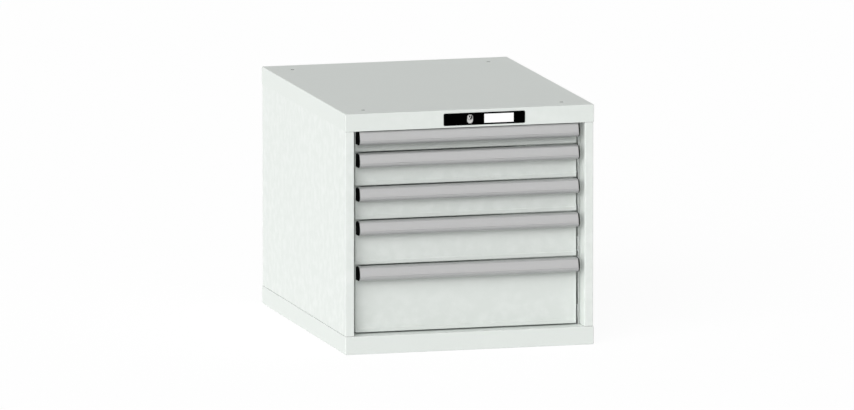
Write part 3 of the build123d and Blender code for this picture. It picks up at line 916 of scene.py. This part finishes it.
def make_drawer_front(drawer, bm):
    """Pan-shaped front sheet, rounded at its folds, with a hem that stands forward along its foot."""
    sheet, bend, fold = 1.2, 1.6, 10.0
    top_gap = 4.0
    hem_height, hem_slope, hem_step = 9.0, 0.9, 0.8
    bottom = drawer.bottom
    half_z = (drawer.top - top_gap - bottom) / 2
    hem_top = bottom + hem_height
    loop = loops(face, 0.0, bottom + half_z, front_half, half_z, bend, 0.1, 4)
    rows = corner_rows(loop, bend, front_y, 6, -1)
    rows += [loop(0.0, front_y + fold), loop(sheet, front_y + fold)]
    rows += bent(loop, bend, front_y + bend, bend - sheet, 2, -1)
    rows.append(loop(bend + guard, front_y + sheet))
    shell(bm, rows)
    for height in (hem_top, hem_top + hem_slope):
        parts = bm.verts[:] + bm.edges[:] + bm.faces[:]
        bmesh.ops.bisect_plane(bm, geom=parts, plane_co=(0, 0, height * MM), plane_no=(0, 0, 1), dist=1e-6)
    for vertex in bm.verts:
        if vertex.co.z <= (hem_top + 0.01) * MM and vertex.co.y < (front_y + 3.0) * MM:
            vertex.co.y -= hem_step * MM
    drawer_piece(drawer, "_front_sheet", bm, drawer_paint, "_front", "drawer_paint", marked=True)


def through(start, middle, end, steps):
    """Points on the circle arc from start through middle to end."""
    a, b, c = complex(*start), complex(*middle), complex(*end)
    w = (c - a) / (b - a)
    centre = a + (b - a) * (w - abs(w) ** 2) / (2j * w.imag)
    first, last = cmath.phase(a - centre), cmath.phase(c - centre)
    turn = (last - first + math.pi) % (2 * math.pi) - math.pi
    radius = abs(a - centre)
    return arc(centre.real, centre.imag, radius, math.degrees(first), math.degrees(first + turn), steps)


def grip_outline(inset=0.0):
    """The grip rail's section in Y and Z from the drawer's top: heel, ridge, brow, nose, lip and foot."""
    heel_drop = 4.5
    ridge_reach, ridge_drop, crown = 10.0, 1.2, 0.02
    brow_reach, brow_drop, brow_bow = 24.0, 2.6, 0.72
    nose_reach, nose_drop = 29.9, 24.0
    lip_reach, lip_bow = 22.0, 0.32
    heel = (front_y - inset, -heel_drop - inset)
    ridge = (front_y - ridge_reach, -ridge_drop - inset)
    brow = (front_y - brow_reach + inset, -brow_drop - inset)
    nose = (front_y - nose_reach + inset, -nose_drop)
    lip = (front_y - lip_reach + inset, -grip_drop + inset)
    foot = (front_y - inset, -grip_drop + inset)
    ridge_mid = ((heel[0] + ridge[0]) / 2, (heel[1] + ridge[1]) / 2 + crown)
    brow_mid = (brow[0] + brow_bow * (nose[0] - brow[0]), (brow[1] + nose[1]) / 2)
    lip_mid = (nose[0] + lip_bow * (lip[0] - nose[0]), (nose[1] + lip[1]) / 2)
    points = [heel] + through(heel, ridge_mid, ridge, 2)[1:]
    points += through(brow, brow_mid, nose, 12)
    points += through(nose, lip_mid, lip, 7)[1:]
    return points + [foot]


def in_seat():
    """Which points of the grip's outline lie in the label's seat on its face."""
    seat_top, seat_foot = -4.0, -23.5
    return [n for n, (_, z) in enumerate(grip_outline()) if n > 2 and seat_foot <= z <= seat_top]


def long_piece(bm, section, top, half, soft):
    """Runs a section in Y and Z along X, with a row of points a little inside each end."""
    section = [(y, top + z) for y, z in section]
    rows = [row_at(bm, side, section, x) for x in (-half, soft - half, half - soft, half)]
    skin(bm, rows)
    bm.faces.new(rows[0])
    bm.faces.new(rows[-1])
    return rows


def make_grip(drawer, bm):
    """Aluminium rail, open below for the fingers, with a shallow seat along its face."""
    mouth_reach = 20.2
    outer, seat, inner = grip_outline(), grip_outline(seat_depth), grip_outline(grip_wall)
    for n in in_seat():
        outer[n] = seat[n]
    mouth_front, mouth_back = front_y - mouth_reach, front_y - grip_wall
    wall_foot = grip_wall - grip_drop
    section = outer[:-1] + [(mouth_front, -grip_drop), (mouth_front, wall_foot)] + inner[1:-2][::-1]
    section += [inner[0], (mouth_back, wall_foot), (mouth_back, -grip_drop), outer[-1]]
    long_piece(bm, section, drawer.top, grip_half, guard)
    drawer_piece(drawer, "_grip_rail", bm, grip_metal, "_grip", "grip_aluminium", crease=40.0)


def make_label_strip(drawer, bm):
    """Clear cover and paper strip, lying in the grip rail's seat with softened edges."""
    half, soft = 247.4, 0.25
    outline, seat = grip_outline(), grip_outline(seat_depth)
    outer = [Vector(outline[n]) for n in in_seat()]
    inner = [Vector(seat[n]) for n in in_seat()]

    def softened(n, after):
        return [inner[n].lerp(outer[n], 0.7), outer[n] + (outer[after] - outer[n]).normalized() * soft]

    section = softened(0, 1) + outer[1:-1] + softened(-1, -2)[::-1] + inner[::-1]
    rows = long_piece(bm, section, drawer.top, half, soft)
    for row in (rows[0], rows[-1]):
        for vertex in row[1:len(outer) + 1]:
            vertex.co.y += soft * MM
    drawer_piece(drawer, "_label_strip_cover", bm, label_paper, "_label_strip", "label_cover", crease=40.0)


def make_end_caps(drawer, bm):
    """Plastic caps with softened edges on both ends of the grip rail."""
    cap_thickness = 2.3
    for sign in (-1, 1):
        low, high = sorted((sign * grip_half, sign * (grip_half + cap_thickness)))
        plate(bm, side, [lambda g: [(y, drawer.top + z) for y, z in grip_outline(-g)]], low, high, 0.35)
    drawer_piece(drawer, "_grip_caps", bm, cap_plastic, "_end_caps", "black_plastic")


def make_drawer_box(drawer, bm):
    """Tray of thin sheet: a bent floor, walls with a row of slots, and a turned-over rim."""
    sheet, bend, roll = 1.0, 2.0, 1.1
    floor_lift, rim_drop = 6.0, 8.0
    pitch, slot_width, margin = 17.0, 2.2, 3.0
    side_slots, end_slots = 35, 26
    low, high = drawer.bottom + floor_lift, drawer.top - rim_drop
    seam, rim = low + 2.6, high - 7.0
    centre_y, half_y = (box_rear_y + box_front_y) / 2, (box_rear_y - box_front_y) / 2
    loop = loops(plan, 0.0, centre_y, box_x, half_y, 0.8, 0.8, 3, guarded=False)
    rows = bent(loop, bend, low + bend, bend, 4, -1)[::-1]
    rows += [loop(0.0, seam), loop(sheet, seam)]
    rows += bent(loop, bend, low + bend, bend - sheet, 3, -1)
    shell(bm, rows)
    rows = [loop(0.0, rim)] + bent(loop, roll, high - roll, roll, 6, turn=180) + [loop(2 * roll, rim)]
    shell(bm, rows, loop=True)
    wall, middle = rim - seam, (rim + seam) / 2
    row = (wall, sheet, pitch, slot_width, wall - 2 * margin, 1.0, 0.0)
    for x in (-box_x, box_x - sheet):
        slotted(bm, (x, centre_y, middle), (0, 1, 0), (0, 0, 1), side_slots, 2 * half_y, *row)
    for y in (box_front_y + sheet, box_rear_y):
        slotted(bm, (0.0, y, middle), (1, 0, 0), (0, 0, 1), end_slots, 2 * (box_x - sheet), *row)
    drawer_piece(drawer, "_tray", bm, drawer_paint, "_box", "drawer_paint")


def doubled(bm):
    """Adds the same shape on the other side of the cabinet."""
    first = bpy.data.meshes.new("first_side")
    bm.to_mesh(first)
    mirrored(bm)
    add_mesh(bm, first, Matrix())


def make_drawer_rails(drawer, bm):
    """Channel on each side of the drawer, and the welded tab that the lock stops."""
    lips = 10.5
    half_x, half_z, tab_front, tab_rear = 2.25, 3.25, -264.5, -263.0
    tab_x, tab_lift = 8.25, 19.25
    rail_channel(bm, box_x, box_x + lips, drawer.rail_z, box_front_y, box_rear_y)
    doubled(bm)
    tab = rectangle(box_x + tab_x, drawer.rail_z + tab_lift, half_x, half_z, 0.8, 3)
    plate(bm, face, [tab], tab_front, tab_rear, 0.15)
    drawer_piece(drawer, "_side_rails", bm, zinc, "_rails", "zinc_steel")


# Roller places along Y, the rollers' distance from the middle, and the axle's levels with their radius
axles = [
    ([-296.25, -40.9], 237.0, [(232.4, 2.6), (232.8, 3.0), (244.2, 3.0), (244.3, 3.0), (244.4, 2.8)]),
    ([3.95, 267.75], 249.0, [(241.6, 2.8), (241.7, 3.0), (253.2, 3.0), (253.6, 2.6)]),
]


def make_carriages(drawer, bm):
    """Bar between the rails on each side, with a headed axle for each roller."""
    middle_y, half_y, half_z = -14.25, 304.0, 13.0
    inner_x, outer_x = 241.75, 244.25
    plate(bm, side, [rectangle(middle_y, drawer.rail_z, half_y, half_z, 3.0, 4)], inner_x, outer_x, 0.3)
    for places, _, profile in axles:
        for y in places:
            turned(bm, side, y, drawer.rail_z, profile, 28)
    doubled(bm)
    node = drawer.name + "_carriages"
    finished(node + "_bars", bm, zinc, node, "zinc_steel", drawer.carriage)


def make_rollers(drawer):
    """Grooved rollers on both rows of axles."""
    spots = []
    for sign in (-1, 1):
        for places, x, _ in axles:
            spots += [side(y, drawer.rail_z, sign * x) for y in places]
    points = bpy.data.meshes.new("roller_places")
    points.from_pydata(spots, [], [])
    values = {"Radius": 14.2, "Bore": 3.05, "Width": 8.0, "Rounding": 1.3, "Finish": roller_metal}
    mesh = grown(rollers_on_points, values, points)
    node = drawer.name + "_rollers"
    from_mesh(node + "_turned", mesh, roller_metal, node, "roller_steel", drawer.carriage)


# Lock

tail_shape = rectangle(0.0, plug_z, 3.0, 3.0, 0.4, 3)


def lock_outline(growth=0.0):
    half, radius = 3.35, 7.15
    return upright_slot(0.0, plate_z, half, radius + growth, 16)


def make_lock_plate(bm):
    """Rounded plate on the header with a seat for the card, and two pegs behind."""
    rear = -depth / 2
    half_x, half_z, play = 92.25, 13.6, 0.1
    seat_half_x, seat_half_z, deep = 33.5, 10.2, 0.4
    shapes = [rectangle(plate_x, plate_z, half_x, half_z, 3.0, 6), lambda g: lock_outline(play + g)]
    card_seat = (rectangle(card_x, plate_z, seat_half_x, seat_half_z, 0.3, 2), deep, 0)
    plate(bm, face, shapes, plate_front_y, rear, 0.12, [card_seat])
    for x in peg_places:
        turned(bm, face, x, plate_z, [(rear, peg_radius), (rear + 3.4, peg_radius), (rear + 4.0, 1.4)], 20)
    finished("lock_face_plate", bm, plate_plastic, "lock_plate", "black_plastic")


def make_name_card(bm):
    half_x, half_z = 33.3, 9.95
    front, rear = plate_front_y + 0.02, plate_front_y + 0.39
    plate(bm, face, [rectangle(card_x, plate_z, half_x, half_z, 0.3, 3)], front, rear, 0.06)
    finished("blank_name_card", bm, card_paper, "name_card", "white_card")


def make_lock_cylinder(bm):
    """Lock body, nickel on its face, with painted shade in black on its sides and in its bore."""
    play, bore, edge = 0.3, 5.25, 0.45
    shapes = [lambda g: lock_outline(g - play), circle(0.0, plug_z, bore, 36)]
    plate(bm, face, shapes, lock_front_y, lock_rear_y, edge)
    # Faces behind the front take the black finish: painted shade on the sides and in the bore
    for part in bm.faces:
        part.material_index = 0 if part.calc_center_median().y < (lock_front_y + 0.1) * MM else 1
    finished("lock_body", bm, [lock_nickel, gap_shade], "lock_cylinder", "lock_metal")


def make_lock_retainer(bm):
    half_x, half_z, sheet = 15.0, 15.5, 2.0
    shapes = [rectangle(0.0, plate_z, half_x, half_z, 2.0, 4), lambda g: lock_outline(0.02 + g)]
    plate(bm, face, shapes, -cover_y, sheet - cover_y, 0.3)
    finished("lock_body_clip", bm, zinc, "lock_retainer", "zinc_steel")


def make_lock_plug(bm):
    """Turned plug with its keyway and crescent recess, both lined with painted shade in black, and the square
    tail that carries the cam.
    """
    radius, sunk = 5.2, 0.2
    keyway_depth, crescent_depth, crescent_radius = 12.0, 2.4, 4.5
    # Finish 1 in the keyway and crescent is the black painted shade
    keyway = (rectangle(-1.1, plug_z + 2.0, 1.25, 2.2, 0.4, 2), keyway_depth, 1)
    crescent = arc(0.0, plug_z, crescent_radius, -75.0, 52.0, 14)
    crescent += arc(-2.9, plug_z + 1.0, crescent_radius, 30.0, -62.0, 12)
    pockets = [keyway, (lambda g: crescent, crescent_depth, 1)]
    plate(bm, face, [circle(0.0, plug_z, radius, 36)], lock_front_y + sunk, lock_rear_y, 0.4, pockets)
    plate(bm, face, [tail_shape], lock_rear_y - 0.2, cam_rear, 0.2)
    finished("lock_turning_plug", bm, [lock_nickel, gap_shade], "lock_plug", "lock_metal", "lock")


def make_lock_cam(bm):
    """Round cam on the plug's tail, with the pin that shifts the slide."""
    radius, pin_x, pin_radius = 9.0, 4.0, 2.0
    plate(bm, face, [circle(0.0, plug_z, radius, 40), tail_shape], cam_front, cam_rear, 0.3)
    pin = [(cam_rear - 0.5, pin_radius), (cam_rear + 3.7, pin_radius), (cam_rear + 4.0, 1.7)]
    turned(bm, face, pin_x, slide_z, pin, 24)
    finished("lock_round_cam", bm, zinc, "lock_cam", "lock_metal", "lock")


def make_lock_slide(bm):
    """Flat slide with an upright slot for the cam and a hole for the bar's rivet."""
    middle_x, half_x, half_z = 130.025, 144.025, 10.0
    slot_x, slot_half, slot_radius, rivet_hole = 4.0, 0.83, 2.35, 2.02
    shapes = [rectangle(middle_x, slide_z, half_x, half_z, 2.0, 4),
              lambda g: upright_slot(slot_x, slide_z - slot_half, slot_half, slot_radius + g, 10),
              circle(bar_x, slide_z, rivet_hole, 24)]
    plate(bm, face, shapes, slide_front, slide_rear, 0.2)
    finished("lock_cross_slide", bm, zinc, "lock_slide", "zinc_steel", "lock_slide")


def make_lock_bar(bm):
    """Upright bar with its rivet in the slide, and one welded finger for each drawer."""
    bar_y, half_x, half_y, foot, head = -273.5, 2.0, 6.0, 60.5, 516.45
    finger_y, finger_lift, finger_reach = -272.5, 19.0, 242.0
    rivet = [(-287.5, 1.5), (-287.3, 1.9), (-287.1, 2.0), (-279.2, 2.0)]
    plate(bm, plan, [rectangle(bar_x, bar_y, half_x, half_y, 0.6, 3)], foot, head, 0.4)
    turned(bm, face, bar_x, slide_z, rivet, 24)
    for drawer in drawers:
        finger = rectangle(finger_y, drawer.rail_z + finger_lift, 4.0, 2.5, 0.6, 3)
        plate(bm, side, [finger], finger_reach, bar_x - half_x + 0.1, 0.3)
    finished("lock_upright_bar", bm, zinc, "lock_bar", "zinc_steel", "lock_slide")


def make_lock_guides(bm):
    """Loops that hold the slide under the top, and staples on the upright that the bar moves in."""
    loop_y, loop_half, loop_width = (slide_front + slide_rear) / 2, 2.8, 12.0
    gap_half_y, gap_half_z = 1.3, 10.3
    staple_height = 10.0
    low = slide_z - 11.8
    shapes = [rectangle(loop_y, (low + cover_z) / 2, loop_half, (cover_z - low) / 2, 0.7, 3),
              lambda g: rounded(loop_y, slide_z, gap_half_y + g, gap_half_z + g, 0.3, 3)]
    for x in (60.0, 200.0):
        plate(bm, side, shapes, x, x + loop_width, 0.2)
    left, right = bar_x - 11.8, bar_x + 3.8
    front, rear = post_rear_y + upright_depth, runner_sheet - 267.2
    path = [(right, front), (right, rear), (left, rear), (left, front)]
    for drop in (46.0, 214.0, 354.0):
        foot = header_z - drop
        folded_sheet(bm, plan, path, runner_sheet, 0.3, foot, foot + staple_height)
    finished("lock_slide_guides", bm, zinc, "lock_guides", "zinc_steel")


for drawer in drawers:
    for make in (make_drawer_front, make_grip, make_label_strip, make_end_caps, make_drawer_box,
                 make_drawer_rails, make_carriages):
        make(drawer, bmesh.new())
    make_rollers(drawer)
for make in (make_top_cover, make_base, make_back_panel, make_floor):
    make(bmesh.new())
make_back_screws()
for word in ("left", "right"):
    for make in (make_side_wall, make_uprights, make_casing_rails):
        make(word, bmesh.new())
for make in (make_lock_plate, make_name_card, make_lock_cylinder, make_lock_retainer, make_lock_plug,
             make_lock_cam, make_lock_slide, make_lock_bar, make_lock_guides):
    make(bmesh.new())


# Floor, light and camera

white = (1.0, 1.0, 1.0, 1.0)


def seen_rays(wiring):
    """1 for the rays that show the background: camera, mirror and glass."""
    path = wiring.tree.nodes.new("ShaderNodeLightPath")
    camera, mirror, glass = (Signal(wiring, path.outputs["Is " + kind + " Ray"])
                             for kind in ("Camera", "Glossy", "Transmission"))
    return wiring.node("ShaderNodeMath", {"operation": "MINIMUM"}, {0: camera + mirror + glass, 1: 1.0})


def make_floor_stage():
    """Pale floor that the camera sees almost white and that throws no light on the cabinet."""
    lines = (-30.0, -2.0, 2.0, 30.0)
    glow, glow_share = 1.035, 0.9
    bm = bmesh.new()
    skin(bm, [[bm.verts.new((x, y, 0.0)) for x in lines] for y in lines], closed=False)
    mesh = mesh_of("studio_floor", bm)
    stage = put("studio_floor", mesh)
    pale = Finish("studio_floor")
    speckle = pale.mix(pale.noise(40.0, 2.0), (0.9, 0.9, 0.9, 1.0), (0.91, 0.91, 0.91, 1.0))
    matt = pale.node("ShaderNodeBsdfDiffuse", {}, {"Color": speckle})
    bright = pale.node("ShaderNodeEmission", {}, {"Color": white, "Strength": glow})
    seen = pale.node("ShaderNodeMixShader", {}, {0: seen_rays(pale) * glow_share, 1: matt, 2: bright})
    pale.node("ShaderNodeOutputMaterial", {}, {"Surface": seen})
    mesh.materials.append(pale.material)
    stage.visible_shadow = False
    stage.visible_diffuse = False


def make_light():
    """A dome that is brighter from below, three soft lamps from the front left, and a fill from the left
    that throws no shadow."""
    world = bpy.data.worlds.new("studio")
    bpy.context.scene.world = world
    world.use_nodes = True
    world.node_tree.nodes.clear()
    room = Wiring(world.node_tree)
    direction = room.node("ShaderNodeTexCoord", output="Generated")
    height = room.node("ShaderNodeSeparateXYZ", {}, {"Vector": direction}, "Z")
    stops = [(0.0, 0.92), (0.35, 0.68), (0.5, 0.54), (0.62, 0.42), (1.0, 0.25)]
    level = room.node("ShaderNodeValToRGB", {"stops": stops}, {"Fac": height * 0.5 + 0.5})
    dome = room.node("ShaderNodeBackground", {}, {"Color": white, "Strength": level})
    backdrop = room.node("ShaderNodeBackground", {}, {"Color": white, "Strength": 1.0})
    seen = room.node("ShaderNodeMixShader", {}, {0: seen_rays(room), 1: dome, 2: backdrop})
    room.node("ShaderNodeOutputWorld", {}, {"Surface": seen})
    # Name, energy, degrees to the left, degrees up, width in degrees, and whether it throws a shadow
    lamps = [
        ("key_lamp", 1.27, 40.0, 33.0, 50.0, True),
        ("left_lamp", 0.34, 58.0, 18.0, 35.0, True),
        ("front_lamp", 0.62, 28.0, 22.0, 30.0, True),
        ("left_fill", 0.60, 90.0, 0.0, 10.0, False),
    ]
    for name, energy, left, lift, softness, shadow in lamps:
        lamp = bpy.data.lights.new(name, "SUN")
        lamp.energy = energy
        lamp.angle = math.radians(softness)
        lamp.use_shadow = shadow
        put(name, lamp).rotation_euler = (math.radians(90.0 - lift), 0.0, -math.radians(left))


def make_camera():
    """Stands at the front left and a little above, its lens so long that parallel edges stay parallel."""
    azimuth, elevation = math.radians(-15.0557), math.radians(9.0339)
    distance = 41.8786
    aim_right, aim_down = 0.00042, 0.00085
    level = math.cos(elevation)
    back = Vector((math.sin(azimuth) * level, -math.cos(azimuth) * level, math.sin(elevation)))
    right = Vector((math.cos(azimuth), math.sin(azimuth), 0.0))
    aim = Vector((0.0, 0.0, top_z / 2 * MM)) + right * aim_right - back.cross(right) * aim_down
    data = bpy.data.cameras.new("studio_camera")
    data.lens = 800.0
    data.sensor_width = 36.0
    data.clip_start = 1.0
    data.clip_end = 90.0
    camera = put("studio_camera", data)
    camera.rotation_mode = "QUATERNION"
    camera.location = aim + back * distance
    camera.rotation_quaternion = (-back).to_track_quat("-Z", "Y")
    bpy.context.scene.camera = camera


make_floor_stage()
make_light()
make_camera()
bpy.context.scene.view_settings.view_transform = "Standard"
